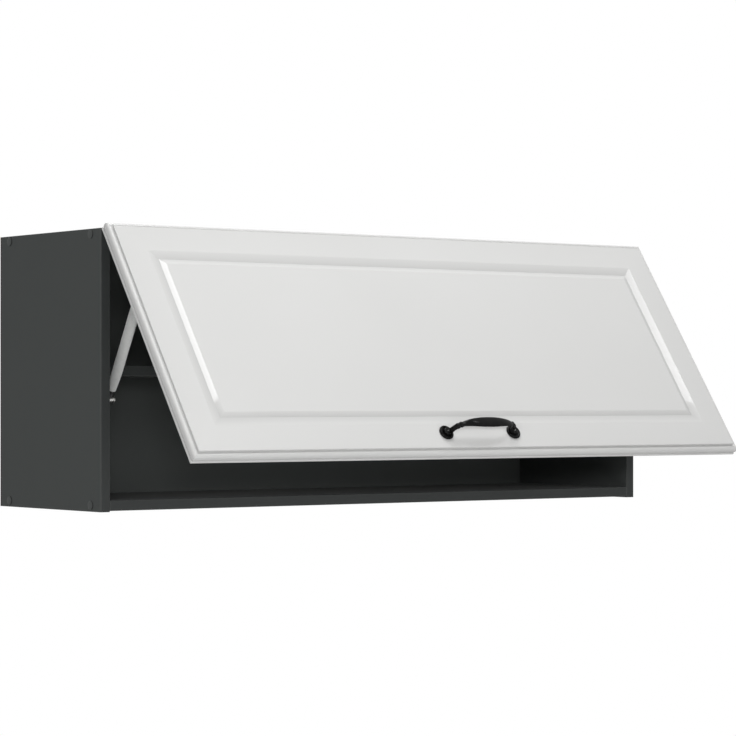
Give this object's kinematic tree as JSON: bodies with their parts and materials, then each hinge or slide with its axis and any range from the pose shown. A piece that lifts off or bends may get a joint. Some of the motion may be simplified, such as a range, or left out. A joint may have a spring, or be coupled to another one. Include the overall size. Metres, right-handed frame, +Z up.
{
  "type": "wall cabinet",
  "caption": "Wide wall cabinet with a board carcass, an inner shelf and a framed flap door that swings up on top hinges and is held open by gas struts.",
  "frame": {"origin": "on the wall plane, midway between the two wall-screw holes in the hanging rail", "axes": "+X along the width, +Y into the wall with the door facing -Y, +Z up"},
  "size_m": [1.0028, 0.539, 0.4035],
  "materials": {
    "carcass_board": "melamine-faced chipboard, matt anthracite",
    "edge_band": "plastic edge band, matt anthracite",
    "back_board": "hardboard with a printed anthracite face",
    "door_foil": "routed fibreboard wrapped in light grey semi-gloss foil",
    "black_casting": "cast zinc, black lacquer",
    "cap_plastic": "moulded plastic, matt anthracite",
    "beech": "fluted beech",
    "tube_paint": "light grey painted steel",
    "zinc": "zinc plated",
    "black_plastic": "moulded plastic, black",
    "bright_rod": "ground and polished",
    "soft_clear": "clear soft dot",
    "plated_steel": "zinc plated"
  },
  "bodies": {
    "carcass": {"back_panel": "back_board", "bottom_edge_band": "edge_band", "bottom_panel": "carcass_board", "confirmat_screws": "plated_steel", "dowels": "beech", "hanging_rail": "carcass_board", "hinge_fixed_leaf_left": "plated_steel", "hinge_fixed_leaf_middle": "plated_steel", "hinge_fixed_leaf_right": "plated_steel", "hinge_fixed_screws": "plated_steel", "hinge_pins": "plated_steel", "left_side_edge_band": "edge_band", "left_side_panel": "carcass_board", "right_side_edge_band": "edge_band", "right_side_panel": "carcass_board", "screw_caps": "cap_plastic", "shelf": "carcass_board", "shelf_edge_band": "edge_band", "shelf_pins": "plated_steel", "strut_clips": "plated_steel", "strut_foot_left": "plated_steel", "strut_foot_right": "plated_steel", "strut_foot_screws": "plated_steel", "top_edge_band": "edge_band", "top_panel": "carcass_board"},
    "door": {"door_bumpers": "soft_clear", "door_panel": "door_foil", "handle": "black_casting", "handle_screws": "plated_steel", "hinge_moving_leaf_left": "plated_steel", "hinge_moving_leaf_middle": "plated_steel", "hinge_moving_leaf_right": "plated_steel", "hinge_moving_screws": "plated_steel", "strut_plate_left": "plated_steel", "strut_plate_right": "plated_steel", "strut_plate_screws": "plated_steel"},
    "left_tube": {"strut_eye_left": "zinc", "strut_guide_left": "black_plastic", "strut_neck_left": "black_plastic", "strut_tube_left": "tube_paint"},
    "left_rod": {"strut_piston_left": "black_plastic", "strut_rod_end_left": "black_plastic", "strut_rod_left": "bright_rod", "strut_stud_left": "plated_steel"},
    "right_tube": {"strut_eye_right": "zinc", "strut_guide_right": "black_plastic", "strut_neck_right": "black_plastic", "strut_tube_right": "tube_paint"},
    "right_rod": {"strut_piston_right": "black_plastic", "strut_rod_end_right": "black_plastic", "strut_rod_right": "bright_rod", "strut_stud_right": "plated_steel"}
  },
  "joints": [
    {"name": "door_swing", "type": "hinge", "parent": "carcass", "child": "door", "pos_m": [0, -0.2872, 0.0488], "axis": [-1, 0, 0], "range_deg": [-35, 40]},
    {"name": "left_tube_swing", "type": "hinge", "parent": "carcass", "child": "left_tube", "pos_m": [-0.441, -0.212, -0.1894], "axis": [1, 0, 0], "range_deg": [-7.1, 8.1]},
    {"name": "left_rod_slide", "type": "slide", "parent": "left_tube", "child": "left_rod", "axis": [0, -0.4914, 0.8709], "range_m": [-0.0279, 0.0319]},
    {"name": "right_tube_swing", "type": "hinge", "parent": "carcass", "child": "right_tube", "pos_m": [0.441, -0.212, -0.1894], "axis": [1, 0, 0], "range_deg": [-7.1, 8.1]},
    {"name": "right_rod_slide", "type": "slide", "parent": "right_tube", "child": "right_rod", "axis": [0, -0.4914, 0.8709], "range_m": [-0.0279, 0.0319]}
  ],
  "couplings": [
    {"joint": "left_tube_swing", "follows": "door_swing", "ratio": 0.2},
    {"joint": "left_rod_slide", "follows": "door_swing", "m_per_rad": 0.0455},
    {"joint": "right_tube_swing", "follows": "door_swing", "ratio": 0.2},
    {"joint": "right_rod_slide", "follows": "door_swing", "m_per_rad": 0.0455}
  ]
}
